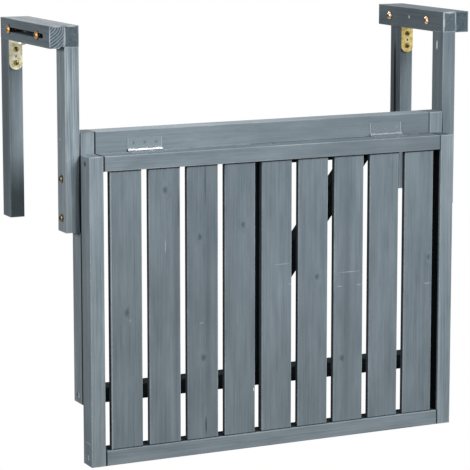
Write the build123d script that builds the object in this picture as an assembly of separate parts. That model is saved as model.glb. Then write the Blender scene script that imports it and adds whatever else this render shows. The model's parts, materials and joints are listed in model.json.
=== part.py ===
from build123d import *
from math import hypot, sqrt
import os

# Folding balcony table that hangs on a railing by two hooks, with its top hanging flat in front of its frame.
# Origin: the railing's top inner edge, midway between the hooks. X runs along the railing, -Y points to the
# sitter and +Z is up. The hooks rest on the railing at z = 0, and the frame's back lies against it at y = 0.

# Planed softwood bar, the stock of every frame member
BAR_WIDTH = 22.0
BAR_DEPTH = 32.0
ARRIS = 1.0

# Table top
TOP_WIDTH = 600.0
TOP_LENGTH = 452.0
RAIL_LAP = 0.5  # of the hanging top's upper edge over the frame's top rail
FOLD_GAP = 2.5  # between the hanging top's back and the frame's front

# Slats, with their ends let into the top's rails
SLAT_COUNT = 9
SLAT_WIDTH = 50.0
SLAT_THICKNESS = 8.0
SLAT_SETBACK = 4.0  # behind the face of the top's frame
SLAT_ROUND = 2.0
SLAT_TENON = 6.0
TENON_PLAY = 0.1

# Rear frame
FRAME_DROP = 121.0  # from the railing down to the frame's upper edge
FRAME_HEIGHT = 398.0

# Prop gate in the rear frame
GATE_PLAY = 0.5  # above and below the gate's post
GATE_ARM_LENGTH = 189.0
GATE_BRACE_REACH = 160.0
GATE_BRACE_DROP = 210.0
BRACE_FOOT_SCREW = 0.8  # place of the screw, as a share of the brace's foot
BRACE_HEAD_SCREW = 0.6  # and of its head
GATE_PIN_RADIUS = 4.0
GATE_PIN_LENGTH = 40.0

# Hooks
RAILING_ROOM = 136.0  # between the post's back and the leg's front
POST_LENGTH = 265.0  # below the railing's top
LEG_LENGTH = 265.0
REBATE = 2.0  # by which post and leg are let into their arms
SLIDE_PLAY = 0.3  # between the two arms
SLIDE_TRAVEL = 20.0
SLOT_PLAY = 0.5  # round the clamp bolts

# Clamp bolts and post bolts, all with the same domed heads
BOLT_RADIUS = 3.0
BOLT_HEAD_RADIUS = 6.0
BOLT_HEAD_RIM = 1.2
BOLT_HEAD_HEIGHT = 4.5
BOLT_SEAT_PLAY = 0.1
FRONT_BOLT_SETBACK = 17.0  # behind the post's back
REAR_BOLT_INSET = 36.0  # from the arms' rear end
NUT_THREAD = 2.5
POST_BOLT_LENGTH = 40.0
POST_BOLT_DROPS = (188.0, 245.0)  # below the railing's top

# Dowels and long wood screws in the corner joints
DOWEL_RADIUS = 3.0
DOWEL_LENGTH = 40.0
DOWEL_WALL = 2.5  # of wood round a dowel
DOWEL_ASIDE = 8.0  # from the screw in the same joint
SCREW_HEAD_RADIUS = 4.0
SCREW_RADIUS = 2.2
SCREW_LENGTH = 60.0
SCREW_SUNK = 0.6
SCREW_BITE = 20.0  # of the gate's screws in the second bar
BORE_PLAY = 0.1

# Butt hinges between frame and top
HINGE_INSET = 78.5  # from the stile to the hinge's middle
HINGE_WIDTH = 54.0
KNUCKLE_COUNT = 5
KNUCKLE_RADIUS = 2.0
HINGE_PLAY = 0.3
PIN_RADIUS = 1.0
PIN_PLAY = 0.05
LEAF_LENGTH = 18.0
LEAF_THICKNESS = 1.0
LEAF_ROUND = 2.0
HINGE_SCREW_PITCH = 18.0
HINGE_SCREW_HEAD = 2.8
HINGE_SCREW_RADIUS = 1.5
HINGE_SCREW_LENGTH = 14.0

# Corner brackets between the outer arms and the legs
BRACKET_WIDTH = 20.0
BRACKET_LENGTH = 44.0
BRACKET_THICKNESS = 2.5
BRACKET_ROUND = 9.5
BRACKET_BEND = 1.0
BRACKET_SCREW_OFFSETS = (14.0, 34.0)  # from the bend
BRACKET_HOLE_RADIUS = 2.0
BRACKET_SCREW_HEAD = 4.0
BRACKET_SCREW_RIM = 0.6
BRACKET_SCREW_HEIGHT = 2.2
BRACKET_SCREW_RADIUS = 1.9
BRACKET_SCREW_LENGTH = 13.0

# Cross recesses in the heads, as shares of the head
RECESS_REACH = 0.55
RECESS_WIDTH = 0.22
RECESS_DEPTH = 0.30

RIGHT = (1, 0, 0)
LEFT = (-1, 0, 0)
BACK = (0, 1, 0)
FRONT = (0, -1, 0)
UP = (0, 0, 1)
DOWN = (0, 0, -1)
SIDES = (-1, 1)


def middle(span):
    return (span[0] + span[1]) / 2


def block(x, y, z):
    """Box over three (low, high) spans."""
    spans = (x, y, z)
    size = [high - low for low, high in spans]
    return Pos(*[middle(span) for span in spans]) * Box(*size)


def bar(x, y, z, along):
    """Planed bar over three spans, with its four long edges eased."""
    return fillet(block(x, y, z).edges().filter_by(along), ARRIS)


def rod(radius, length, start=0.0):
    """Round rod along +Z from its start."""
    return Pos(0, 0, start) * Cylinder(radius, length, align=(Align.CENTER, Align.CENTER, Align.MIN))


def drive(shape, at, into):
    """A fixing that is drawn along +Z, set at a point and driven along a direction."""
    return Plane(origin=at, z_dir=into) * shape


def recess(head_radius):
    """Cross recess that opens at z = 0 and goes down +Z."""
    reach = 2 * RECESS_REACH * head_radius
    width = RECESS_WIDTH * head_radius
    depth = 2 * RECESS_DEPTH * head_radius
    return Box(reach, width, depth) + Box(width, reach, depth)


def domed_head(radius, rim, height):
    """Round head that stands on z = 0 and rises towards -Z, with a cross recess in its crown."""
    crown = height - rim
    sphere = (radius**2 + crown**2) / (2 * crown)
    half_way = radius / 2
    shoulder = sphere - height - sqrt(sphere**2 - half_way**2)
    outline = [
        Line((0, 0), (radius, 0)),
        Line((radius, 0), (radius, -rim)),
        ThreePointArc((radius, -rim), (half_way, shoulder), (0, -height)),
        Line((0, -height), (0, 0)),
    ]
    head = revolve(Plane.XZ * make_face(outline), Axis.Z)
    return head - Pos(0, 0, -height) * recess(radius)


def domed_bolt(radius, head, length, at, into):
    """Bolt or screw with a domed head of (radius, rim, height), and the bore that it needs."""
    bolt = domed_head(*head) + rod(radius, length)
    bore = rod(radius + BORE_PLAY, length + BORE_PLAY)
    return drive(bolt, at, into), drive(bore, at, into)


def countersunk_screw(head_radius, radius, length, at, into, sunk=0.0):
    """Flat-headed screw, and the bore that it needs, with its head sunk below the surface."""
    neck = head_radius - radius

    def profile(play):
        points = [(0, 0), (head_radius + play, 0), (radius + play, neck), (radius + play, length + play)]
        return Polyline(*points, (0, length + play), close=True)

    screw = revolve(Plane.XZ * make_face(profile(0)), Axis.Z) - recess(head_radius)
    bore = revolve(Plane.XZ * make_face(profile(BORE_PLAY)), Axis.Z)
    mouth = rod(head_radius + BORE_PLAY, sunk + ARRIS, -sunk - ARRIS)
    seat = Pos(0, 0, sunk)
    return drive(seat * screw, at, into), drive(seat * (bore + mouth), at, into)


def wood_screw(length, at, into):
    """Long screw of a corner joint, sunk a little."""
    return countersunk_screw(SCREW_HEAD_RADIUS, SCREW_RADIUS, length, at, into, SCREW_SUNK)


def dowel(at, into):
    """Dowel centred on a joint, and the bore that it needs."""
    peg = rod(DOWEL_RADIUS, DOWEL_LENGTH, -DOWEL_LENGTH / 2)
    bore = rod(DOWEL_RADIUS + BORE_PLAY, DOWEL_LENGTH + 2 * BORE_PLAY, -DOWEL_LENGTH / 2 - BORE_PLAY)
    return drive(peg, at, into), drive(bore, at, into)


nodes = {}


def fasten(name, fixings, *members):
    """Adds a group of fixings as one node, and bores the members that they go into."""
    nodes[name] = Compound(children=[solid for solid, bore in fixings])
    for member in members:
        nodes[member] = nodes[member] - [bore for solid, bore in fixings]


# Spans that the members share. Only the right side is drawn: the left is its mirror image.
half_width = TOP_WIDTH / 2
stile_x = (half_width - BAR_WIDTH, half_width)
rail_x = (-stile_x[0], stile_x[0])
post_x = (half_width, half_width + BAR_WIDTH)
outer_x = (post_x[1] + SLIDE_PLAY, post_x[1] + SLIDE_PLAY + BAR_WIDTH)
frame_y = (-BAR_DEPTH, 0)
top_y = (-2 * BAR_DEPTH - FOLD_GAP, -BAR_DEPTH - FOLD_GAP)

# Rails are as deep as their stiles. The frame's top rail, which carries the hinges, is square.
frame_z = (-FRAME_DROP - FRAME_HEIGHT, -FRAME_DROP)
frame_upper_z = (frame_z[1] - BAR_DEPTH, frame_z[1])
frame_lower_z = (frame_z[0], frame_z[0] + BAR_WIDTH)
top_edge = frame_upper_z[0] + RAIL_LAP
top_z = (top_edge - TOP_LENGTH, top_edge)
top_upper_z = (top_z[1] - BAR_WIDTH, top_z[1])
top_lower_z = (top_z[0], top_z[0] + BAR_WIDTH)
slat_face = top_y[0] + SLAT_SETBACK
slat_y = (slat_face, slat_face + SLAT_THICKNESS)
muntin_y = (slat_y[1], slat_y[1] + BAR_WIDTH)

# The hinge pins lie in the angle between the frame's front and the hanging top's upper edge
knuckle_seat = KNUCKLE_RADIUS + HINGE_PLAY
pin_y = frame_y[0] - knuckle_seat
pin_z = top_edge + knuckle_seat


def corner_fixings(y, rails_z):
    """Screws from the stiles into the middle of the rails' ends, each with a dowel behind it."""
    screws = []
    dowels = []
    for side in SIDES:
        for z in rails_z:
            screw_at = (side * stile_x[1], middle(y), middle(z))
            dowel_at = (side * stile_x[0], middle(y) + DOWEL_ASIDE, middle(z))
            into = (-side, 0, 0)
            screws.append(wood_screw(SCREW_LENGTH, screw_at, into))
            dowels.append(dowel(dowel_at, into))
    return screws, dowels


# Rear frame
nodes["rear_stile_right"] = bar(stile_x, frame_y, frame_z, Axis.Z)
nodes["rear_top_rail"] = bar(rail_x, frame_y, frame_upper_z, Axis.X)
nodes["rear_bottom_rail"] = bar(rail_x, frame_y, frame_lower_z, Axis.X)
frame_members = ("rear_stile_right", "rear_top_rail", "rear_bottom_rail")
frame_screws, frame_dowels = corner_fixings(frame_y, (frame_upper_z, frame_lower_z))
fasten("frame_screws", frame_screws, *frame_members)
fasten("frame_dowels", frame_dowels, *frame_members)

# Prop gate: post, arm and brace lie in one plane in the middle of the frame's depth. The arm stands just
# under the top rail, and the raised top's muntin comes down on it.
gate_post_x = (-BAR_DEPTH / 2, BAR_DEPTH / 2)
gate_post_z = (frame_lower_z[1] + GATE_PLAY, frame_upper_z[0] - GATE_PLAY)
gate_y = (middle(frame_y) - BAR_WIDTH / 2, middle(frame_y) + BAR_WIDTH / 2)
arm_top = gate_post_z[1]
arm_bottom = arm_top - BAR_DEPTH
gate_arm_x = (gate_post_x[1], gate_post_x[1] + GATE_ARM_LENGTH)
nodes["gate_post"] = bar(gate_post_x, gate_y, gate_post_z, Axis.Z)
nodes["gate_arm"] = bar(gate_arm_x, gate_y, (arm_bottom, arm_top), Axis.X)

# The brace's ends are cut to fit the post and the arm
brace_length = hypot(GATE_BRACE_REACH, GATE_BRACE_DROP)
brace_head = BAR_DEPTH * brace_length / GATE_BRACE_DROP
brace_foot = BAR_DEPTH * brace_length / GATE_BRACE_REACH
brace_low = (gate_post_x[1], arm_bottom - GATE_BRACE_DROP)
brace_tip = (gate_post_x[1] + GATE_BRACE_REACH, arm_bottom)
brace_face = make_face(
    Polyline(
        brace_low,
        brace_tip,
        (brace_tip[0] - brace_head, brace_tip[1]),
        (brace_low[0], brace_low[1] + brace_foot),
        close=True,
    )
)
brace = extrude(Plane.XZ.offset(-middle(gate_y)) * brace_face, BAR_WIDTH / 2, both=True)
brace_axis = Axis((0, 0, 0), (GATE_BRACE_REACH, 0, GATE_BRACE_DROP))
nodes["gate_brace"] = fillet(brace.edges().filter_by(brace_axis), ARRIS)

gate_pin_depth = (GATE_PIN_LENGTH - GATE_PLAY) / 2
gate_pin = rod(GATE_PIN_RADIUS, GATE_PIN_LENGTH, -gate_pin_depth)
gate_pin_bore = rod(GATE_PIN_RADIUS + PIN_PLAY, GATE_PIN_LENGTH + 2 * BORE_PLAY, -gate_pin_depth - BORE_PLAY)
gate_pins = []
for end_z, into in ((gate_post_z[1], UP), (gate_post_z[0], DOWN)):
    end = (0, middle(gate_y), end_z)
    gate_pins.append((drive(gate_pin, end, into), drive(gate_pin_bore, end, into)))
fasten("gate_pins", gate_pins, "rear_top_rail", "rear_bottom_rail", "gate_post")

gate_screws = []
gate_screw_length = BAR_DEPTH + SCREW_BITE
arm_screw_z = middle((arm_bottom, gate_post_z[1] - gate_pin_depth))
foot_screw_z = brace_low[1] + BRACE_FOOT_SCREW * brace_foot
for z in (arm_screw_z, foot_screw_z):
    gate_screws.append(wood_screw(gate_screw_length, (gate_post_x[0], middle(gate_y), z), RIGHT))
head_at = (brace_tip[0] - BRACE_HEAD_SCREW * brace_head, middle(gate_y), arm_top)
gate_screws.append(wood_screw(gate_screw_length, head_at, DOWN))
fasten("gate_screws", gate_screws, "gate_post", "gate_arm", "gate_brace")

# Fixed half of a hook: the post on the frame's stile and the inner arm on the post
arm_y = (-BAR_DEPTH, RAILING_ROOM + BAR_DEPTH)
arm_z = (0, BAR_DEPTH)
leg_y = (RAILING_ROOM, RAILING_ROOM + BAR_DEPTH)
inner_arm = bar(post_x, arm_y, arm_z, Axis.Y)
nodes["post_right"] = bar(post_x, frame_y, (-POST_LENGTH, REBATE), Axis.Z)
nodes["inner_arm_right"] = inner_arm - block(post_x, frame_y, (0, REBATE))
dowel_inset = DOWEL_WALL + DOWEL_RADIUS
post_dowel_y = (frame_y[0] + dowel_inset, frame_y[1] - dowel_inset)
post_dowels = [dowel((middle(post_x), y, REBATE), UP) for y in post_dowel_y]
fasten("post_dowels_right", post_dowels, "post_right", "inner_arm_right")

# Sliding half of a hook: the slotted outer arm and the leg behind the railing
bolt_y = (FRONT_BOLT_SETBACK, arm_y[1] - REAR_BOLT_INSET)
slot_width = 2 * (BOLT_RADIUS + SLOT_PLAY)
slot_length = bolt_y[1] - bolt_y[0] + SLIDE_TRAVEL
slot_at = (middle(outer_x), bolt_y[1] - slot_length / 2, middle(arm_z))
slot = extrude(SlotCenterToCenter(slot_length, slot_width), BAR_WIDTH, both=True)
outer_arm = bar(outer_x, arm_y, arm_z, Axis.Y) - Plane(origin=slot_at, x_dir=BACK, z_dir=RIGHT) * slot
nodes["outer_arm_right"] = outer_arm - block(outer_x, leg_y, (0, REBATE))
nodes["leg_right"] = bar(outer_x, leg_y, (-LEG_LENGTH, REBATE), Axis.Z)
bracket_screw_tip = leg_y[0] - BRACKET_THICKNESS + BRACKET_SCREW_LENGTH
leg_dowel_y = (bracket_screw_tip + dowel_inset, leg_y[1] - dowel_inset)
leg_dowels = [dowel((middle(outer_x), y, REBATE), UP) for y in leg_dowel_y]
fasten("leg_dowels_right", leg_dowels, "leg_right", "outer_arm_right")

# Bolts: the clamp bolts go through both arms into cap nuts, the post bolts through the post into the stile
bolt_head = (BOLT_HEAD_RADIUS, BOLT_HEAD_RIM, BOLT_HEAD_HEIGHT)
nut_face = outer_x[1] + BOLT_SEAT_PLAY
clamp_bolts = []
clamp_nuts = []
for y in bolt_y:
    bolt_length = nut_face - post_x[0] + NUT_THREAD
    at = (post_x[0], y, middle(arm_z))
    clamp_bolts.append(domed_bolt(BOLT_RADIUS, bolt_head, bolt_length, at, RIGHT))
    nut = domed_head(*bolt_head)
    nut_at = (nut_face, y, middle(arm_z))
    thread = rod(BOLT_RADIUS + BORE_PLAY, NUT_THREAD + BORE_PLAY, -NUT_THREAD - BORE_PLAY)
    clamp_nuts.append(drive(nut - thread, nut_at, LEFT))
fasten("clamp_bolts_right", clamp_bolts, "inner_arm_right")
nodes["clamp_nuts_right"] = Compound(children=clamp_nuts)

post_bolts = []
for drop in POST_BOLT_DROPS:
    at = (post_x[1], middle(frame_y), -drop)
    post_bolts.append(domed_bolt(BOLT_RADIUS, bolt_head, POST_BOLT_LENGTH, at, LEFT))
fasten("post_bolts_right", post_bolts, "post_right", "rear_stile_right")

# Corner bracket bent from strip, in the angle under the outer arm
bracket_x = (middle(outer_x) - BRACKET_WIDTH / 2, middle(outer_x) + BRACKET_WIDTH / 2)
bend_y = leg_y[0]
inner_bend = (middle(outer_x), bend_y - BRACKET_THICKNESS, -BRACKET_THICKNESS)
down_flange = block(bracket_x, (bend_y - BRACKET_THICKNESS, bend_y), (-BRACKET_LENGTH, 0))
down_flange = fillet(down_flange.edges().filter_by(Axis.Y).group_by(Axis.Z)[0], BRACKET_ROUND)
arm_flange = block(bracket_x, (bend_y - BRACKET_LENGTH, bend_y), (-BRACKET_THICKNESS, 0))
arm_flange = fillet(arm_flange.edges().filter_by(Axis.Z).group_by(Axis.Y)[0], BRACKET_ROUND)
bracket = down_flange + arm_flange
bracket = fillet(bracket.edges().filter_by(Axis.X).sort_by_distance(inner_bend)[0], BRACKET_BEND)
spare_offset = sum(BRACKET_SCREW_OFFSETS) / 2
spare_hole = Cylinder(BRACKET_HOLE_RADIUS, 4 * BRACKET_THICKNESS)
bracket -= drive(spare_hole, (middle(outer_x), bend_y, -spare_offset), BACK)
bracket -= drive(spare_hole, (middle(outer_x), bend_y - spare_offset, 0), UP)
nodes["corner_bracket_right"] = bracket

bracket_head = (BRACKET_SCREW_HEAD, BRACKET_SCREW_RIM, BRACKET_SCREW_HEIGHT)
bracket_screws = []
for offset in BRACKET_SCREW_OFFSETS:
    leg_at = (middle(outer_x), bend_y - BRACKET_THICKNESS, -offset)
    arm_at = (middle(outer_x), bend_y - offset, -BRACKET_THICKNESS)
    for at, into in ((leg_at, BACK), (arm_at, UP)):
        bracket_screws.append(domed_bolt(BRACKET_SCREW_RADIUS, bracket_head, BRACKET_SCREW_LENGTH, at, into))
fasten("bracket_screws_right", bracket_screws, "corner_bracket_right", "leg_right", "outer_arm_right")

# Frame of the table top
nodes["top_stile_right"] = bar(stile_x, top_y, top_z, Axis.Z)
nodes["top_back_rail"] = bar(rail_x, top_y, top_upper_z, Axis.X)
nodes["top_front_rail"] = bar(rail_x, top_y, top_lower_z, Axis.X)
top_members = ("top_stile_right", "top_back_rail", "top_front_rail")
top_screws, top_dowels = corner_fixings(top_y, (top_upper_z, top_lower_z))
fasten("top_screws", top_screws, *top_members)
fasten("top_dowels", top_dowels, *top_members)

# Slats, each let into a mortise in either rail
slat_gap = (rail_x[1] - rail_x[0] - SLAT_COUNT * SLAT_WIDTH) / (SLAT_COUNT + 1)
slat_z = (top_lower_z[1] - SLAT_TENON, top_upper_z[0] + SLAT_TENON)
mortise_y = (slat_y[0] - TENON_PLAY, slat_y[1] + TENON_PLAY)
mortise_z = (slat_z[0] - TENON_PLAY, slat_z[1] + TENON_PLAY)
mortises = []
for i in range(SLAT_COUNT):
    left = rail_x[0] + slat_gap + i * (SLAT_WIDTH + slat_gap)
    slat = block((left, left + SLAT_WIDTH), slat_y, slat_z)
    front_edges = slat.edges().filter_by(Axis.Z).group_by(Axis.Y)[0]
    nodes[f"slat_{i + 1}"] = fillet(front_edges, SLAT_ROUND)
    mortises.append(block((left - TENON_PLAY, left + SLAT_WIDTH + TENON_PLAY), mortise_y, mortise_z))
for rail in ("top_back_rail", "top_front_rail"):
    nodes[rail] = nodes[rail] - mortises

# Muntin between the rails, flat against the back of the middle slat
muntin_x = (-BAR_DEPTH / 2, BAR_DEPTH / 2)
muntin_z = (top_lower_z[1], top_upper_z[0])
nodes["top_muntin"] = bar(muntin_x, muntin_y, muntin_z, Axis.Z)
muntin_screws = []
for end_z, into in ((top_z[1], DOWN), (top_z[0], UP)):
    at = (0, middle(muntin_y), end_z)
    muntin_screws.append(wood_screw(SCREW_LENGTH, at, into))
fasten("muntin_screws", muntin_screws, "top_muntin", "top_back_rail", "top_front_rail")

# Hinges, each with its knuckles shared between a leaf on the frame and a leaf on the top
hinge_x = stile_x[0] - HINGE_INSET
hinge_at = (hinge_x, pin_y, pin_z)
knuckle_pitch = HINGE_WIDTH / KNUCKLE_COUNT


def hinge_leaf(first_knuckle):
    """Leaf on every second knuckle, with the pin along X, the leaf along +Y and the wood below it in Z."""
    width = (-HINGE_WIDTH / 2, HINGE_WIDTH / 2)
    sheet = (-knuckle_seat, -knuckle_seat + LEAF_THICKNESS)
    leaf = block(width, (knuckle_seat, LEAF_LENGTH), sheet)
    leaf = fillet(leaf.edges().filter_by(Axis.Z).group_by(Axis.Y)[-1], LEAF_ROUND)
    for i in range(first_knuckle, KNUCKLE_COUNT, 2):
        centre = (i + 0.5) * knuckle_pitch - HINGE_WIDTH / 2
        length = knuckle_pitch - HINGE_PLAY
        leaf += block((centre - length / 2, centre + length / 2), (0, knuckle_seat), sheet)
        leaf += drive(rod(KNUCKLE_RADIUS, length, -length / 2), (centre, 0, 0), RIGHT)
    return leaf - drive(rod(PIN_RADIUS + PIN_PLAY, HINGE_WIDTH, -HINGE_WIDTH / 2), (0, 0, 0), RIGHT)


nodes["hinge_frame_leaf_right"] = Plane(origin=hinge_at, x_dir=RIGHT, z_dir=FRONT) * hinge_leaf(0)
nodes["hinge_top_leaf_right"] = Plane(origin=hinge_at, x_dir=LEFT, z_dir=UP) * hinge_leaf(1)
nodes["hinge_pin_right"] = drive(rod(PIN_RADIUS, HINGE_WIDTH, -HINGE_WIDTH / 2), hinge_at, RIGHT)

leaf_middle = (knuckle_seat + LEAF_LENGTH) / 2
frame_leaf_screws = []
top_leaf_screws = []
hinge_screw = (HINGE_SCREW_HEAD, HINGE_SCREW_RADIUS, HINGE_SCREW_LENGTH)
for side in SIDES:
    for step in (-1, 0, 1):
        x = side * hinge_x + step * HINGE_SCREW_PITCH
        frame_at = (x, frame_y[0] - LEAF_THICKNESS, pin_z + leaf_middle)
        top_at = (x, pin_y - leaf_middle, top_edge + LEAF_THICKNESS)
        frame_leaf_screws.append(countersunk_screw(*hinge_screw, frame_at, BACK))
        top_leaf_screws.append(countersunk_screw(*hinge_screw, top_at, DOWN))
fasten("hinge_frame_screws", frame_leaf_screws, "hinge_frame_leaf_right", "rear_top_rail")
fasten("hinge_top_screws", top_leaf_screws, "hinge_top_leaf_right", "top_back_rail")

# The left side is the right side's mirror image
for name in list(nodes):
    if name.endswith("_right"):
        nodes[name.replace("_right", "_left")] = mirror(nodes[name], about=Plane.YZ)

os.makedirs("parts", exist_ok=True)
for name, shape in nodes.items():
    export_step(shape, f"parts/{name}.step")
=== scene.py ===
import json
from math import radians
import bpy
from mathutils import Euler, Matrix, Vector


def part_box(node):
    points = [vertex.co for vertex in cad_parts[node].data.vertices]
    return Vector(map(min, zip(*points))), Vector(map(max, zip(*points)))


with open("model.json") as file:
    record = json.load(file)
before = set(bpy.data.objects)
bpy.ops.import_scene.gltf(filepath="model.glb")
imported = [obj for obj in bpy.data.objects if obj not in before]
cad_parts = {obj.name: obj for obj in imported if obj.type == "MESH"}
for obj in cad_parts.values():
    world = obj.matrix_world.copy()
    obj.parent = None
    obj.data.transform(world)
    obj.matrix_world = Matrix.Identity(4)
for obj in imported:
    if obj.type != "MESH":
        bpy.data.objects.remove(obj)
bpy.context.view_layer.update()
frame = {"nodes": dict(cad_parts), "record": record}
nodes = frame["nodes"]

# Rear frame: two upright stiles and two rails of planed softwood, screwed and dowelled at the corners.
# Every bar of the table has the same grey-blue stain, thin enough for the rings and fibres to show,
# rubbed pale along the edges and darkened with painted shade where a rail butts against a stile.
MM = 0.001
STAIN_DARK = (0.08, 0.106, 0.125, 1.0)
STAIN_LIGHT = (0.34, 0.403, 0.443, 1.0)
RUBBED = (0.46, 0.52, 0.55, 1.0)
# painted shade in the joint crevices and on the slats' sides in their gaps
CREVICE_SHADE = (0.012, 0.016, 0.02, 1.0)
RAIL_JOINT = (3.0, 1.5)  # where the painted shade line at a butted end fades out and where it is full, in mm
SHEEN = 0.06  # specular levels of the stain, where it is handled and where it has gone dull
MATT = 0.0
RUB_WIDTH = 2.2 * MM
GRAIN_TURN = {"X": (0.0, radians(90), 0.0), "Y": (radians(90), 0.0, 0.0), "Z": (0.0, 0.0, 0.0)}
GRAIN_AXIS = {"X": (1.0, 0.0, 0.0), "Y": (0.0, 1.0, 0.0), "Z": (0.0, 0.0, 1.0)}


def add(tree, kind, *values, **settings):
    """Adds a shader node, sets its options, feeds its sockets in order and gives its first output."""
    node = tree.nodes.new("ShaderNode" + kind)
    for name, value in settings.items():
        setattr(node, name, value)
    for socket, value in zip(node.inputs, values):
        feed(tree, socket, value)
    return node.outputs[0]


def feed(tree, socket, value):
    """Links a socket to a node's output, or sets it to a plain value."""
    if isinstance(value, bpy.types.NodeSocket):
        tree.links.new(value, socket)
    elif value is not None:
        socket.default_value = value


def calc(tree, operation, *values):
    """One step of arithmetic."""
    return add(tree, "Math", *values, operation=operation)


def aim(tree, operation, *values):
    """One step of vector arithmetic: a vector, or a number for lengths and dot products."""
    vector = add(tree, "VectorMath", *values, operation=operation)
    if operation in ("LENGTH", "DOT_PRODUCT"):
        return vector.node.outputs["Value"]
    return vector


def ease(tree, value, low, high, start=0.0, end=1.0):
    """Soft step from start to end as the value goes from low to high."""
    return add(tree, "MapRange", value, low, high, start, end, interpolation_type="SMOOTHSTEP")


def clouds(tree, vector, stretch, detail=3.0, roughness=0.55):
    """Noise with so many features to the metre along each axis."""
    stretched = aim(tree, "MULTIPLY", vector, stretch)
    return add(tree, "TexNoise", stretched, None, 1.0, detail, roughness)


def tint(tree, mask, under, over):
    """Lays one colour over another where the mask is 1, and goes past either outside 0 to 1."""
    mix = add(tree, "Mix", mask, data_type="RGBA", clamp_factor=False).node
    feed(tree, mix.inputs[6], under)
    feed(tree, mix.inputs[7], over)
    return mix.outputs[2]


def new_group(name, inputs, outputs):
    """Starts a shader node group with named sockets: gives its tree, its inputs and its outputs."""
    tree = bpy.data.node_groups.new(name, "ShaderNodeTree")
    for label, kind in inputs.items():
        tree.interface.new_socket(label, in_out="INPUT", socket_type="NodeSocket" + kind)
    for label, kind in outputs.items():
        tree.interface.new_socket(label, in_out="OUTPUT", socket_type="NodeSocket" + kind)
    entry = tree.nodes.new("NodeGroupInput")
    leave = tree.nodes.new("NodeGroupOutput")
    return tree, entry.outputs, leave.inputs


def place(tree, group, **values):
    """Puts a node group in a material and gives its outputs."""
    node = tree.nodes.new("ShaderNodeGroup")
    node.node_tree = group
    for name, value in values.items():
        feed(tree, node.inputs[name.replace("_", " ")], value)
    return node.outputs


def new_finish(name):
    """Starts a material: gives it, its tree, its shader and its coordinates."""
    material = bpy.data.materials.new(name)
    material.use_nodes = True
    tree = material.node_tree
    return material, tree, tree.nodes["Principled BSDF"], add(tree, "TexCoord").node.outputs


def dress(name, material):
    """Gives a CAD node its only material."""
    nodes[name].data.materials.clear()
    nodes[name].data.materials.append(material)


# Growth rings round the pith and fibres along it, for a bar whose grain runs along Z
WANDER_SCALE = (14.0, 14.0, 2.2)
FIBRE_SCALE = (900.0, 900.0, 16.0)
STREAK_SCALE = (330.0, 330.0, 5.0)
PATCH_SCALE = (38.0, 38.0, 9.0)
RING_WANDER = 22 * MM
LATE_WOOD = 2.2  # how sharply a ring darkens towards its end
LATE_WOOD_END = 0.9
timber, entry, leave = new_group(
    "timber_grain", {"Vector": "Vector", "Ring Pitch": "Float"},
    {"Rings": "Float", "Fibres": "Float", "Streaks": "Float", "Patches": "Float"})
across = aim(timber, "LENGTH", aim(timber, "MULTIPLY", entry["Vector"], (1.0, 1.0, 0.0)))
wander = clouds(timber, entry["Vector"], WANDER_SCALE)
bent = calc(timber, "MULTIPLY_ADD", wander, RING_WANDER, across)
turn = calc(timber, "FRACT", calc(timber, "DIVIDE", bent, entry["Ring Pitch"]))
darkening = calc(timber, "POWER", turn, LATE_WOOD)
late_wood = calc(timber, "MULTIPLY", darkening, ease(timber, turn, 1.0, LATE_WOOD_END))
feed(timber, leave["Rings"], late_wood)
feed(timber, leave["Fibres"], clouds(timber, entry["Vector"], FIBRE_SCALE, roughness=0.65))
feed(timber, leave["Streaks"], clouds(timber, entry["Vector"], STREAK_SCALE, roughness=0.6))
feed(timber, leave["Patches"], clouds(timber, entry["Vector"], PATCH_SCALE, roughness=0.6))

# Nearness to the edges of a bar, and the distance from its two ends
FLAKE_SCALE = (160.0, 160.0, 160.0)
FLAKE_DEPTH, FLAKE_SHIFT = 1.3 * MM, -0.5 * MM
arris, entry, leave = new_group(
    "bar_edges",
    {"Vector": "Vector", "Centre": "Vector", "Half Size": "Vector", "Axis": "Vector", "Width": "Float"},
    {"Edge": "Float", "End": "Float"})
offset = aim(arris, "ABSOLUTE", aim(arris, "SUBTRACT", entry["Vector"], entry["Centre"]))
inside = aim(arris, "SUBTRACT", entry["Half Size"], offset)
parts = add(arris, "SeparateXYZ", inside).node.outputs
least = calc(arris, "MINIMUM", calc(arris, "MINIMUM", parts[0], parts[1]), parts[2])
most = calc(arris, "MAXIMUM", calc(arris, "MAXIMUM", parts[0], parts[1]), parts[2])
total = calc(arris, "ADD", calc(arris, "ADD", parts[0], parts[1]), parts[2])
second = calc(arris, "SUBTRACT", calc(arris, "SUBTRACT", total, most), least)
flaking = clouds(arris, entry["Vector"], FLAKE_SCALE)
ragged = calc(arris, "MULTIPLY_ADD", flaking, FLAKE_DEPTH, FLAKE_SHIFT)
feed(arris, leave["Edge"], ease(arris, calc(arris, "ADD", second, ragged), entry["Width"], 0.0))
feed(arris, leave["End"], aim(arris, "DOT_PRODUCT", inside, entry["Axis"]))

# One soft or ragged spot, such as a knot, a chip, a crack or a scratch
CRUMB_SCALE = (260.0, 260.0, 260.0)
spot, entry, leave = new_group(
    "spot",
    {"Vector": "Vector", "Centre": "Vector", "Size": "Vector", "Feather": "Float", "Ragged": "Float"},
    {"Mask": "Float"})
from_centre = aim(spot, "SUBTRACT", entry["Vector"], entry["Centre"])
away = aim(spot, "LENGTH", aim(spot, "DIVIDE", from_centre, entry["Size"]))
crumbs = calc(spot, "SUBTRACT", clouds(spot, entry["Vector"], CRUMB_SCALE), 0.5)
outline = calc(spot, "ADD", away, calc(spot, "MULTIPLY", crumbs, entry["Ragged"]))
core = calc(spot, "SUBTRACT", 1.0, entry["Feather"])
feed(spot, leave["Mask"], ease(spot, outline, 1.0, core))

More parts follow.
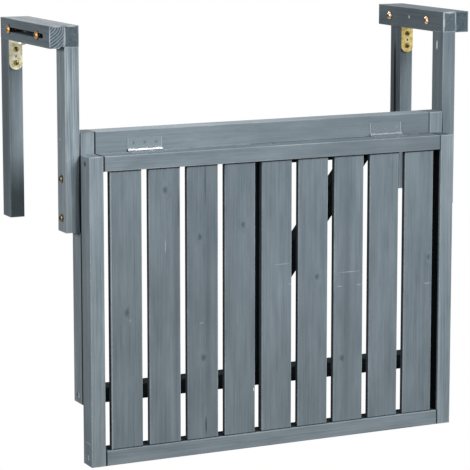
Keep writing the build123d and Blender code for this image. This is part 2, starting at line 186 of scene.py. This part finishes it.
# Colour, strength, feather and raggedness of each kind of mark on the wood
MARKS = {
    "knot": ((0.07, 0.086, 0.098, 1.0), 0.72, 0.9, 0.5),
    "band": ((0.1, 0.124, 0.14, 1.0), 0.5, 1.0, 0.3),
    # painted shade: a soft dark patch
    "painted_shade_patch": ((0.1, 0.135, 0.138, 1.0), 0.4, 0.7, 0.4),
    "pale": ((0.42, 0.47, 0.5, 1.0), 0.5, 1.0, 0.4),
    "chip": ((0.86, 0.9, 0.92, 1.0), 0.95, 0.4, 1.1),
    "crack": ((0.006, 0.012, 0.018, 1.0), 0.97, 0.7, 0.25),
    "seam": ((0.006, 0.009, 0.012, 1.0), 0.95, 0.35, 0.1),
    "vein": ((0.06, 0.075, 0.086, 1.0), 0.62, 0.9, 0.3),
    # painted shade for faces that lie in deep shade
    "shade": ((0.006, 0.008, 0.01, 1.0), 0.93, 0.2, 0.1),
    # dirt, and painted shade where it rings bolt heads and covers the bars behind the slats
    "dirt_and_shade": ((0.02, 0.022, 0.024, 1.0), 0.75, 0.35, 0.3),
    "rub": ((0.5, 0.56, 0.59, 1.0), 0.75, 0.9, 0.6),
    "scratch": ((0.5, 0.56, 0.58, 1.0), 0.6, 0.9, 0.9),
}

# How much streaks, fibres, patches and rings vary the stain: more on paler wood, and within limits
STREAK_SHARE, FIBRE_SHARE, PATCH_SHARE, RING_SHARE = 0.8, 0.7, 0.8, -0.05
RING_MEAN = 0.26
LEAST_SPREAD = 0.31
DARKEST, DARKEST_END = -0.25, -0.28
END_BLOTCHES = 0.6
# How far a face is turned, as a cosine, where end grain or the painted shade on a side begins and where
# it is full
END_TURN = (0.5, 0.85)
SIDE_SHADE_TURN = (0.75, 0.97)
# Wear, painted shade at joints, knots, gloss and relief
RUBBED_PATCHES, LEAST_RUB = (0.35, 0.62), 0.35
JOINT_FILL = 0.93
KNOT_REACH, KNOT_BEND = 2.6, (3 * MM, 3 * MM, 0.0)
FIBRE_STEP, PLANED_ROUGHNESS = (0.2, 0.8), (0.84, 0.68)
RELIEF, FIBRE_DEPTH, RING_DIP = 0.35, 0.25 * MM, -0.4


def stained(name, grain, tone, streak=1.0, pith=(34, 26), along=0.0, end=0.05, end_rings=0.15, rub=0.6,
            joint=None, pitch=2.9, side_shade=0.0, sheen=SHEEN, marks=()):
    """Gives a bar its stained wood, from dark at tone 0 to pale at 1, with its grain along an axis.

    The pith is off the bar's middle and pitch is between the rings, in mm; along shifts the grain, in m.
    end and end_rings are the end grain's tone and contrast, rub is the wear of the edges, joint the
    painted shade line at butted ends and flanks the painted shade on the sides; marks are (kind, at,
    size) in mm."""
    low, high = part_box(name)
    centre, half = (low + high) / 2, (high - low) / 2
    material, tree, shader, coordinates = new_finish(name + "_stain")
    point = coordinates["Object"]
    turned = Euler(GRAIN_TURN[grain]).to_matrix() @ centre
    shift = Vector((pith[0] * MM, pith[1] * MM, along)) - turned
    grown = add(tree, "Mapping", point, shift, GRAIN_TURN[grain])
    for kind, at, size in marks:
        if kind == "knot":
            around = Vector(size) * KNOT_REACH * MM
            bulge = place(tree, spot, Vector=point, Centre=Vector(at) * MM, Size=around, Feather=1.0)[0]
            grown = aim(tree, "ADD", grown, aim(tree, "SCALE", KNOT_BEND, None, None, bulge))
    wood = place(tree, timber, Vector=grown, Ring_Pitch=pitch * MM)

    rings = calc(tree, "SUBTRACT", wood["Rings"], RING_MEAN)
    spread = LEAST_SPREAD + tone
    shares = {"Streaks": STREAK_SHARE * streak, "Fibres": FIBRE_SHARE * streak, "Patches": PATCH_SHARE}
    level = tone
    for output, share in shares.items():
        shade = calc(tree, "SUBTRACT", wood[output], 0.5)
        level = calc(tree, "MULTIPLY_ADD", shade, share * spread, level)
    level = calc(tree, "MULTIPLY_ADD", rings, RING_SHARE * streak * spread, level)
    colour = tint(tree, calc(tree, "MAXIMUM", level, DARKEST), STAIN_DARK, STAIN_LIGHT)

    cut = calc(tree, "ABSOLUTE", aim(tree, "DOT_PRODUCT", coordinates["Normal"], GRAIN_AXIS[grain]))
    blotch = calc(tree, "MULTIPLY_ADD", calc(tree, "SUBTRACT", wood["Streaks"], 0.5), END_BLOTCHES, end)
    end_level = calc(tree, "MULTIPLY_ADD", rings, end_rings, blotch)
    end_colour = tint(tree, calc(tree, "MAXIMUM", end_level, DARKEST_END), STAIN_DARK, STAIN_LIGHT)
    colour = tint(tree, ease(tree, cut, *END_TURN), colour, end_colour)

    edges = place(tree, arris, Vector=point, Centre=centre, Half_Size=half, Axis=GRAIN_AXIS[grain],
                  Width=RUB_WIDTH)
    handled = ease(tree, wood["Patches"], *RUBBED_PATCHES, LEAST_RUB * rub, rub)
    colour = tint(tree, calc(tree, "MULTIPLY", edges["Edge"], handled), colour, RUBBED)
    # painted shade on the sides, which face the narrow gaps between slats
    if side_shade:
        sideways = aim(tree, "DOT_PRODUCT", coordinates["Normal"], GRAIN_AXIS["X"])
        side_shade_mask = ease(tree, calc(tree, "ABSOLUTE", sideways), *SIDE_SHADE_TURN, 0.0, side_shade)
        colour = tint(tree, side_shade_mask, colour, CREVICE_SHADE)
    if joint:
        # painted shade line in the crevice at a butted end
        seam = ease(tree, edges["End"], joint[0] * MM, joint[1] * MM, 0.0, JOINT_FILL)
        colour = tint(tree, seam, colour, CREVICE_SHADE)
    for kind, at, size in marks:
        mark_colour, strength, feather, rough_edge = MARKS[kind]
        mask = place(tree, spot, Vector=point, Centre=Vector(at) * MM, Size=Vector(size) * MM,
                     Feather=feather, Ragged=rough_edge)[0]
        colour = tint(tree, calc(tree, "MULTIPLY", mask, strength), colour, mark_colour)

    feed(tree, shader.inputs["Base Color"], colour)
    feed(tree, shader.inputs["Roughness"], ease(tree, wood["Fibres"], *FIBRE_STEP, *PLANED_ROUGHNESS))
    shader.inputs["Specular IOR Level"].default_value = sheen
    bump = add(tree, "Bump", RELIEF, FIBRE_DEPTH)
    height = calc(tree, "MULTIPLY_ADD", wood["Rings"], RING_DIP, wood["Fibres"])
    feed(tree, bump.node.inputs["Height"], height)
    feed(tree, shader.inputs["Normal"], bump)
    dress(name, material)


stained("rear_stile_left", "Z", 0.66, 0.9, (30, 22), 0.3, end=-0.28, rub=1.0, marks=[
    # painted shadow line in the gap between the post and the stile
    ("seam", (-300, -32, -330), (1.6, 1.2, 700)),
    ("crack", (-300, -11, -508), (3, 2.2, 2.2)),
    ("vein", (-289, -16, -120.5), (400, 400, 3)),
])
stained("rear_stile_right", "Z", 0.34, 0.9, (-28, 31), 1.1)
RIGHT_END_SHADE = (520, 2000, 2000)  # reach of the painted shade that darkens a rail towards its right end
stained("rear_top_rail", "X", 0.485, 0.55, (35, 40), 2.3, joint=RAIL_JOINT, marks=[
    ("band", (300, -32, -137), RIGHT_END_SHADE),
])
# painted shade: the bars behind the slats are darkened nearly black all over
PAINTED_SHADE_DARK = {"tone": 0.1, "rub": 0.1, "sheen": MATT,
            "marks": [("dirt_and_shade", (0, 0, -330), (2000, 2000, 2000))]}
stained("rear_bottom_rail", "X", streak=0.6, pith=(-33, 38), along=3.7, **PAINTED_SHADE_DARK)

# Prop gate: a post on two pins, an arm and a slanting brace, screwed together from the same stock.
# It stands folded behind the slats, darkened all over like the lower rail as painted shade, and on the
# real table it swings forward under the raised top.
stained("gate_post", "Z", streak=0.7, pith=(29, -30), along=4.1, **PAINTED_SHADE_DARK)
stained("gate_arm", "X", streak=0.7, pith=(31, 27), along=5.3, **PAINTED_SHADE_DARK)
stained("gate_brace", "X", streak=0.7, pith=(26, 33), along=6.2, **PAINTED_SHADE_DARK)

# Fixed half of each hook: a post bolted to the outside of the frame and an arm dowelled on its top.
# The left post is painted paler than the right, as painted light from the left, and has strong streaks;
# the stain is chipped on both posts' sides.
stained("post_left", "Z", 0.7, 2.4, (38, 24), 7.5, rub=0.8, marks=[
    # painted light: the post's whole left side is painted paler
    ("pale", (-323.4, -16, -130), (2.5, 60, 600)),
    ("chip", (-322, -11, -132), (4, 1.5, 2)),
    ("pale", (-317, -32, -48), (2, 4, 60)),
    ("pale", (-306, -32, -75), (1.6, 4, 80)),
    ("band", (-312, -32, -20), (2, 4, 40)),
    # painted shadow line in the gap beside the table top
    ("seam", (-300, -32, -215), (2.2, 8, 95)),
])
stained("post_right", "Z", 0.27, 1.0, (-36, 28), 8.2, marks=[
    # painted light: the post's whole left side is painted paler
    ("pale", (298.6, -16, -130), (2.5, 60, 600)),
    ("chip", (300, -14, -20), (3, 3, 9)),
    # painted shadow line in the gap beside the table top
    ("seam", (300, -32, -212), (2.6, 8, 108)),
    # painted shade along the right edge of the front
    ("band", (322, -32, -100), (2.5, 6, 170)),
])
# dirt and painted shade round the clamp heads on the wood
CLAMP_RING = (3, 8.4, 8.4)
ARM_TOP = ("vein", (0, 68, 33), (5000, 5000, 4))  # the weathered upper faces of all four arms
stained("inner_arm_left", "Y", 0.36, 0.9, (-40, 36), 9.4, end=0.06, end_rings=0.1, rub=0.7, marks=[
    ARM_TOP,
    ("rub", (-321.5, -32, 16), (2.2, 3, 21)),
    ("rub", (-311, -32, 31.5), (13, 3, 2.2)),
    # painted shade on the face seen through the slot
    ("shade", (-322, 64, 16), (4, 78, 6)),
])
stained("inner_arm_right", "Y", 0.31, 0.8, (42, -30), 10.1, end=0.05, end_rings=0.12, rub=0.9, marks=[
    ARM_TOP,
    ("chip", (300, 72, 17.5), (3, 2, 3)),
    ("rub", (300.8, -32, 16), (3.4, 3, 23)),
    ("rub", (311, -32, 31), (14, 3, 3.4)),
    ("dirt_and_shade", (300, 17, 16), CLAMP_RING),
    ("dirt_and_shade", (300, 132, 16), CLAMP_RING),
])

# Sliding half of each hook: a slotted arm with a leg dowelled under its outer end.
# The left arm's front end shows its growth rings; the right leg has a long drying crack.
stained("outer_arm_left", "Y", 0.36, 1.0, (16, 20), 11.2, end=0.25, end_rings=1.15, rub=0.7,
        pitch=3.8, marks=[
            ARM_TOP,
            # painted shade in the gap under the arm
            ("seam", (-325, -32, 0), (5, 8, 3)),
            ("rub", (-344.3, -32, 16), (1.8, 3, 20)),
            ("rub", (-333.3, -32, 31.5), (12, 3, 2.2)),
            ("dirt_and_shade", (-344.3, 17, 16), CLAMP_RING),
            ("dirt_and_shade", (-344.3, 132, 16), CLAMP_RING),
        ])
stained("outer_arm_right", "Y", 0.36, 0.8, (30, 34), 12.6, end=-0.03, end_rings=0.12, marks=[ARM_TOP])
stained("leg_left", "Z", 0.52, 1.0, (27, 36), 13.3, rub=0.8, marks=[
    ("seam", (-344.3, 150, -31), (3, 1.4, 2.6)),
    # painted shade: these two bands darken the outer side face
    ("band", (-344.3, 158, -130), (3, 30, 400)),
    ("band", (-344.3, 146, -130), (3, 30, 400)),
    ("chip", (-333.3, 136, -24), (2.6, 3, 2.6)),
    # painted shade over the lower front
    ("painted_shade_patch", (-333.3, 136, -215), (40, 5, 75)),
])
stained("leg_right", "Z", 0.36, 1.0, (-31, 25), 14.8, marks=[
    # painted shade over the inner side face
    ("band", (322.3, 152, -130), (4, 22, 150)),
    ("seam", (322.3, 153.5, -80), (4, 3.8, 62)),
    ("seam", (322.3, 152.5, -165), (4, 4.4, 105)),
    ("chip", (333.3, 136, -24), (2.6, 3, 2.6)),
])

# Table top: stiles and rails that frame the slats, with the rails butted between the stiles.
# Its inner sides and ledges are painted black as painted shade. The raised top rests on the gate by a
# bar behind the slats.
# painted shade on the inner sides and ledges of the frame round the slats
INNER_SIDE = (2, 17, 2000)
INNER_LEDGE = (2000, 17, 2)
stained("top_stile_left", "Z", 0.64, 1.0, (34, -29), 15.9, end=0.57, rub=0.5, sheen=MATT, marks=[
    ("rub", (-289, -66.5, -152.5), (14, 2.6, 2.2)),
    ("rub", (-300, -50, -152.5), (2.2, 19, 2.2)),
    ("pale", (-300, -43, -596), (3, 4, 4)),
    ("scratch", (-300, -54, -571), (3, 17, 1.8)),
    ("shade", (-278, -47, -378), INNER_SIDE),
])
stained("top_stile_right", "Z", 0.51, 1.0, (-30, -33), 16.4, sheen=MATT, marks=[
    # painted shade along the right edge of the front
    ("band", (300, -66.5, -378), (2.5, 6, 240)),
    ("shade", (278, -47, -378), INNER_SIDE),
])
stained("top_back_rail", "X", 0.51, 0.7, (28, 37), 17.7, rub=0.9, joint=RAIL_JOINT, sheen=MATT, marks=[
    ("band", (300, -66.5, -163), RIGHT_END_SHADE),
    ("shade", (0, -47, -174.5), INNER_LEDGE),
])
stained("top_front_rail", "X", 0.5, 0.7, (32, -35), 18.5, rub=0.2, joint=RAIL_JOINT, sheen=MATT, marks=[
    ("shade", (0, -47, -582.5), INNER_LEDGE),
])
stained("top_muntin", "Z", streak=0.7, pith=(36, 30), along=19.1, **PAINTED_SHADE_DARK)

# Slats: nine thin boards with rounded edges, tenoned into grooves in the two rails.
# Each has its own tone, knots and scratches from the board it was cut from.
SLAT_FACE = -62.5
# painted shade line where the slats meet the rails
SLAT_JOINT = (7.8, 6.5)
SLAT_STREAK = 0.68
# painted shade on the slats' sides in the gaps
SLAT_SIDE_SHADE = 0.25
SLAT_PITH = 46
SLAT_ALONG, SLAT_STEP = 20, 1.7  # where along the log the slats were cut
MARK_DEPTH = 4
SLAT_TONES = (0.37, 0.365, 0.31, 0.33, 0.375, 0.315, 0.36, 0.375, 0.335)
SLAT_MARKS = {  # kind, across, up, width and height of each, in mm
    # slat 1's last mark, a rub on its left side, is painted light
    1: [("knot", -242, -382, 6, 9), ("scratch", -237, -394, 1.3, 2.6), ("rub", -266.2, -378, 1.8, 900)],
    2: [("knot", -181, -207, 6, 8), ("scratch", -181, -290, 1, 14), ("band", -164, -378, 8, 400),
        ("vein", -160, -235, 1.8, 45)],
    3: [("knot", -126, -280, 5, 7), ("knot", -120, -460, 6, 8), ("scratch", -123, -408, 4, 1),
        ("crack", -116.5, -562, 1.2, 18), ("band", -113, -400, 8, 330), ("vein", -117, -200, 2.2, 60)],
    4: [("knot", -56, -267, 5, 7), ("chip", -38, -517, 0.9, 3)],
    5: [("scratch", 9, -331, 18, 0.8), ("scratch", 22, -362, 5, 0.9)],
    6: [("knot", 67, -355, 5, 7)],
    7: [("band", 118, -400, 12, 400), ("knot", 111, -484, 6, 8), ("scratch", 123, -352, 24, 0.9),
        ("scratch", 106, -373, 7, 0.9), ("scratch", 140, -373, 7, 0.9)],
    9: [("knot", 260, -340, 4, 7), ("scratch", 259, -381, 8, 1.2)],
}
for number, tone in enumerate(SLAT_TONES, 1):
    marks = [(kind, (x, SLAT_FACE, z), (wide, MARK_DEPTH, tall))
             for kind, x, z, wide, tall in SLAT_MARKS.get(number, [])]
    pith = (18 - 5 * (number % 4), SLAT_PITH)
    stained(f"slat_{number}", "Z", tone, SLAT_STREAK, pith, SLAT_ALONG + SLAT_STEP * number, rub=0.8,
            joint=SLAT_JOINT, side_shade=SLAT_SIDE_SHADE if number > 1 else 0.0, marks=marks)

# Bolts and cap nuts: domed heads of yellow-passivated steel, with painted shade in the cross recess and
# round the head's base, and on the bolts' crowns.
# The clamp bolts hold the sliding arm by its slot, and the post bolts hold the post to the frame.
HEAD_SPHERE = 6.85
CROWN_SHARE = 0.55
# painted shade in the cross recesses, round the heads' bases and on the crowns
RECESS_SHADE = (0.02, 0.009, 0.004, 1.0)
RECESS_FILL, CROWN_SHADE = 0.9, 0.8
TARNISH_SCALE = (420.0, 420.0, 420.0)
TARNISH_STEP = (0.35, 0.7)
SOFT_STEP = (0.3, 0.7)
COAT_ROUGHNESS = (0.2, 0.38)


def passivated(name, heads, crowns, sphere, brown, gold):
    """Gives bolts or screws their coat, with painted shade in the recesses: heads are the middles of
    their domes, crowns the tops, in mm.
    """
    material, tree, shader, coordinates = new_finish(name + "_coat")
    point = coordinates["Object"]
    tarnish = clouds(tree, point, TARNISH_SCALE)
    colour = tint(tree, ease(tree, tarnish, *TARNISH_STEP), brown, gold)
    for head in heads:
        size = (sphere * MM,) * 3
        recess = place(tree, spot, Vector=point, Centre=Vector(head) * MM, Size=size, Feather=0.06)[0]
        colour = tint(tree, calc(tree, "MULTIPLY", recess, RECESS_FILL), colour, RECESS_SHADE)
    for crown in crowns:
        size = (CROWN_SHARE * sphere * MM,) * 3
        spot_mask = place(tree, spot, Vector=point, Centre=Vector(crown) * MM, Size=size, Feather=0.5,
                     Ragged=0.5)[0]
        colour = tint(tree, calc(tree, "MULTIPLY", spot_mask, CROWN_SHADE), colour, RECESS_SHADE)
    feed(tree, shader.inputs["Base Color"], colour)
    feed(tree, shader.inputs["Roughness"], ease(tree, tarnish, *SOFT_STEP, *COAT_ROUGHNESS))
    shader.inputs["Metallic"].default_value = 1.0
    dress(name, material)


COPPER = (0.42, 0.22, 0.09, 1.0)
GOLD = (0.93, 0.79, 0.57, 1.0)
NUT_COPPER = (0.18, 0.075, 0.025, 1.0)
NUT_GOLD = (0.56, 0.34, 0.15, 1.0)
OLD_COPPER = (0.05, 0.038, 0.026, 1.0)
OLD_GOLD = (0.16, 0.132, 0.092, 1.0)
CLAMP_PLACES = ((17, 16), (132, 16))
POST_PLACES = ((-16, -188), (-16, -245))
DOMES = {  # places, the distances out to a dome's middle and its worn crown, in mm, and the coat
    "clamp_bolts": (CLAMP_PLACES, 302.6, 295.5, (COPPER, GOLD)),
    "clamp_nuts": (CLAMP_PLACES, 341.8, None, (NUT_COPPER, NUT_GOLD)),
    "post_bolts": (POST_PLACES, 319.4, 326.5, (OLD_COPPER, OLD_GOLD)),
}
for side, sign in (("left", -1), ("right", 1)):
    for name, (places, middle, top, coats) in DOMES.items():
        heads = [(sign * middle, y, z) for y, z in places]
        crowns = [(sign * top, y, z) for y, z in places] if top else []
        passivated(f"{name}_{side}", heads, crowns, HEAD_SPHERE, *coats)

# Corner brackets: bent strips of yellow-passivated steel, each with four brown screws under the arm and
# down the leg. The left one's coat is painted paler and more silvery than the right one's, as painted
# reflection.
BRACKET_X = 333.3
LEG_FACE, STRIP_FACE = 136, 133.5
SCREW_REACHES = (14, 34)  # from the corner along either arm of the bracket, in mm
SCREW_SPHERE = 5.5
SCREW_SINK, SCREW_CROWN = 1.1, 4.7  # a head's middle behind the wood's face, and its crown before it
SCREW_BROWN = (0.13, 0.1, 0.025, 1.0)
SCREW_GOLD = (0.34, 0.27, 0.09, 1.0)
BLOOM_SCALE = (150.0, 150.0, 150.0)
BRACKET_ROUGHNESS = (0.3, 0.48)
# the left coat is painted paler than the right as painted reflection
BRACKET_COATS_AND_REFLECTIONS = {
    "left": ((0.47, 0.44, 0.24, 1.0), (0.78, 0.76, 0.6, 1.0)),
    "right": ((0.38, 0.29, 0.08, 1.0), (0.6, 0.5, 0.22, 1.0)),
}
BARE_ZINC = {"left": (0.72, 0.72, 0.75, 1.0), "right": (0.6, 0.58, 0.38, 1.0)}
BARE_SPOTS = ((-24, 0.8), (-1, 0.6))  # height in mm and strength
BARE_SIZE = (6, 4, 5)
for side, sign in (("left", -1), ("right", 1)):
    material, tree, shader, coordinates = new_finish(f"bracket_{side}_coat")
    point = coordinates["Object"]
    bloom = clouds(tree, point, BLOOM_SCALE, 4.0)
    coat = tint(tree, ease(tree, bloom, *SOFT_STEP), *BRACKET_COATS_AND_REFLECTIONS[side])
    for height, amount in BARE_SPOTS:
        at = Vector((sign * BRACKET_X, STRIP_FACE, height)) * MM
        spot_mask = place(tree, spot, Vector=point, Centre=at, Size=Vector(BARE_SIZE) * MM, Feather=0.8,
                     Ragged=0.8)[0]
        coat = tint(tree, calc(tree, "MULTIPLY", spot_mask, amount), coat, BARE_ZINC[side])
    feed(tree, shader.inputs["Base Color"], coat)
    feed(tree, shader.inputs["Roughness"], ease(tree, bloom, *SOFT_STEP, *BRACKET_ROUGHNESS))
    shader.inputs["Metallic"].default_value = 0.9
    dress(f"corner_bracket_{side}", material)
    screws, crowns = [], []
    for reach in SCREW_REACHES:
        for out, found in ((SCREW_SINK, screws), (-SCREW_CROWN, crowns)):
            found.append((sign * BRACKET_X, LEG_FACE + out, -reach))
            found.append((sign * BRACKET_X, LEG_FACE - reach, out))
    passivated(f"bracket_screws_{side}", screws, crowns if side == "right" else [], SCREW_SPHERE,
               SCREW_BROWN, SCREW_GOLD)

# Hinges: thin steel leaves stained over with the rails they lie on, with knuckles round a pin, bare and
# bright on the left; the right knuckles are painted mostly as stain, a painted weaker reflection, and
# the right leaf darker than the left as painted shade.
# The other screws and pins are zinc-plated, and sunk or hidden.
# the right leaf is painted darker and the left paler, as painted shade along the rails
LEAF_STAINS_AND_SHADE = {
    "left": ((0.21, 0.256, 0.284, 1.0), (0.238, 0.286, 0.316, 1.0)),
    "right": ((0.16, 0.194, 0.216, 1.0), (0.18, 0.217, 0.24, 1.0)),
    "screws": ((0.195, 0.237, 0.263, 1.0), (0.22, 0.265, 0.293, 1.0)),
}
LEAF_EDGE = (1.2 * MM, 0.6 * MM, 0.0, 0.6)
LEAF_ROUGHNESS, KNUCKLE_GLOSS = 0.75, -0.4
# the right knuckle's small share of bare metal paints its weaker reflection
KNUCKLE_REFLECTION = {"left": 1.0, "right": 0.2, "screws": 1.0}
KNUCKLE_STEEL = (0.62, 0.64, 0.66, 1.0)
KNUCKLE_AXIS = Vector((0.0, -34.3, -150.2))
KNUCKLE_SIZE = (1e4, 2.6 * MM, 2.6 * MM)
SPANGLE_SCALE = (300.0, 300.0, 300.0)
DULL_STEEL = (0.3, 0.31, 0.33, 1.0)
BRIGHT_STEEL = (0.5, 0.52, 0.54, 1.0)
STEEL_ROUGHNESS = (0.25, 0.4)
for row in frame["record"]["subparts"]:
    name = row["node"]
    if row["material_slot"] != "steel":
        continue
    material, tree, shader, coordinates = new_finish(name + "_zinc")
    point = coordinates["Object"]
    spangle = clouds(tree, point, SPANGLE_SCALE)
    if "hinge" in name and "pin" not in name:
        part = name.split("_")[-1]
        low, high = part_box(name)
        edges = place(tree, arris, Vector=point, Centre=(low + high) / 2, Half_Size=(high - low) / 2,
                      Axis=GRAIN_AXIS["X"], Width=RUB_WIDTH)
        side_line = ease(tree, edges["End"], *LEAF_EDGE)
        coat = tint(tree, side_line, tint(tree, spangle, *LEAF_STAINS_AND_SHADE[part]), RUBBED)
        knuckle = place(tree, spot, Vector=point, Centre=KNUCKLE_AXIS * MM, Size=KNUCKLE_SIZE,
                        Feather=0.15)[0]
        bare = calc(tree, "MULTIPLY", knuckle, KNUCKLE_REFLECTION[part])
        feed(tree, shader.inputs["Base Color"], tint(tree, bare, coat, KNUCKLE_STEEL))
        feed(tree, shader.inputs["Metallic"], bare)
        gloss = calc(tree, "MULTIPLY_ADD", bare, KNUCKLE_GLOSS, LEAF_ROUGHNESS)
        feed(tree, shader.inputs["Roughness"], gloss)
        shader.inputs["Specular IOR Level"].default_value = SHEEN
    else:
        shine = ease(tree, spangle, *SOFT_STEP)
        feed(tree, shader.inputs["Base Color"], tint(tree, shine, DULL_STEEL, BRIGHT_STEEL))
        feed(tree, shader.inputs["Roughness"], ease(tree, spangle, *SOFT_STEP, *STEEL_ROUGHNESS))
        shader.inputs["Metallic"].default_value = 1.0
    dress(name, material)

# Dowels: bare fluted beech, hidden in the joints.
# They are glued into bores across each joint.
FLECK_SCALE = (500.0, 500.0, 500.0)
BEECH_DARK = (0.5, 0.33, 0.18, 1.0)
BEECH_PALE = (0.72, 0.54, 0.34, 1.0)
beech, tree, shader, coordinates = new_finish("dowel_wood")
flecks = clouds(tree, coordinates["Object"], FLECK_SCALE)
feed(tree, shader.inputs["Base Color"], tint(tree, flecks, BEECH_DARK, BEECH_PALE))
shader.inputs["Roughness"].default_value = 0.7
for row in frame["record"]["subparts"]:
    if row["material_slot"] == "dowel_wood":
        dress(row["node"], beech)

# Studio: a pale round floor at the depth of a balcony's and a white background.
# Soft lamps stand in front, at the front right, on the left, overhead and behind.
FLOOR_DROP = 0.95
FLOOR_RADIUS = 0.75
FLOOR_SIDES = 96
FLOOR_PALE = (0.86, 0.86, 0.86, 1.0)
bpy.ops.object.select_all(action="DESELECT")
bpy.ops.mesh.primitive_circle_add(vertices=FLOOR_SIDES, radius=FLOOR_RADIUS, fill_type="NGON",
                                  location=(0, 0, -FLOOR_DROP))
floor = bpy.context.object
floor.name = "floor"
pale, tree, shader, coordinates = new_finish("pale_floor")
shader.inputs["Base Color"].default_value = FLOOR_PALE
shader.inputs["Roughness"].default_value = 0.9
floor.data.materials.append(pale)
floor.visible_diffuse = False

AMBIENT = 0.11  # the background's light on the table; the camera and shiny metal see it as white
world = bpy.data.worlds.new("white_studio")
bpy.context.scene.world = world
world.use_nodes = True
tree = world.node_tree
rays = add(tree, "LightPath").node.outputs
mirrored = calc(tree, "MAXIMUM", rays["Is Glossy Ray"], rays["Is Transmission Ray"])
seen = calc(tree, "MAXIMUM", rays["Is Camera Ray"], mirrored)
feed(tree, tree.nodes["Background"].inputs["Strength"], ease(tree, seen, 0.0, 1.0, AMBIENT, 1.0))
tree.nodes["Background"].inputs["Color"].default_value = (1.0, 1.0, 1.0, 1.0)

TABLE_MIDDLE = Vector((0.0, -0.03, -0.3))
LAMPS = {  # place and size in metres, and watts
    "front_lamp": ((0.4, -2.0, 1.0), (0.7, 0.7), 46.0),
    "right_lamp": ((2.2, -1.85, 1.1), (0.9, 0.9), 38.0),
    "left_lamp": ((-3.6, -0.6, 0.6), (0.9, 0.9), 53.0),
    "overhead_lamp": ((0.0, -0.1, 2.6), (1.4, 0.4), 14.0),
    "back_lamp": ((0.6, 2.8, 1.2), (1.0, 1.0), 85.0),
}
for name, (at, size, power) in LAMPS.items():
    lamp = bpy.data.lights.new(name, "AREA")
    lamp.shape = "RECTANGLE"
    lamp.size, lamp.size_y = size
    lamp.energy = power
    stand = bpy.data.objects.new(name, lamp)
    stand.location = at
    stand.rotation_euler = (TABLE_MIDDLE - Vector(at)).to_track_quat("-Z", "Y").to_euler()
    bpy.context.scene.collection.objects.link(stand)

# Camera: a long lens in front on the left, a little above the railing.
# Its shift keeps the uprights upright, as they are in the photograph.
CAMERA_AT = Vector((-1.4835, -2.9805, 0.278))
CAMERA_AIM = Vector((0.43129, 0.88977, -0.14931))
LENS = 171.8
LENS_SHIFT = -0.1
camera = bpy.data.objects.new("camera", bpy.data.cameras.new("camera"))
camera.location = CAMERA_AT
camera.rotation_euler = CAMERA_AIM.to_track_quat("-Z", "Y").to_euler()
camera.data.lens = LENS
camera.data.shift_y = LENS_SHIFT
bpy.context.scene.collection.objects.link(camera)
bpy.context.scene.camera = camera
bpy.context.scene.view_settings.view_transform = "Standard"
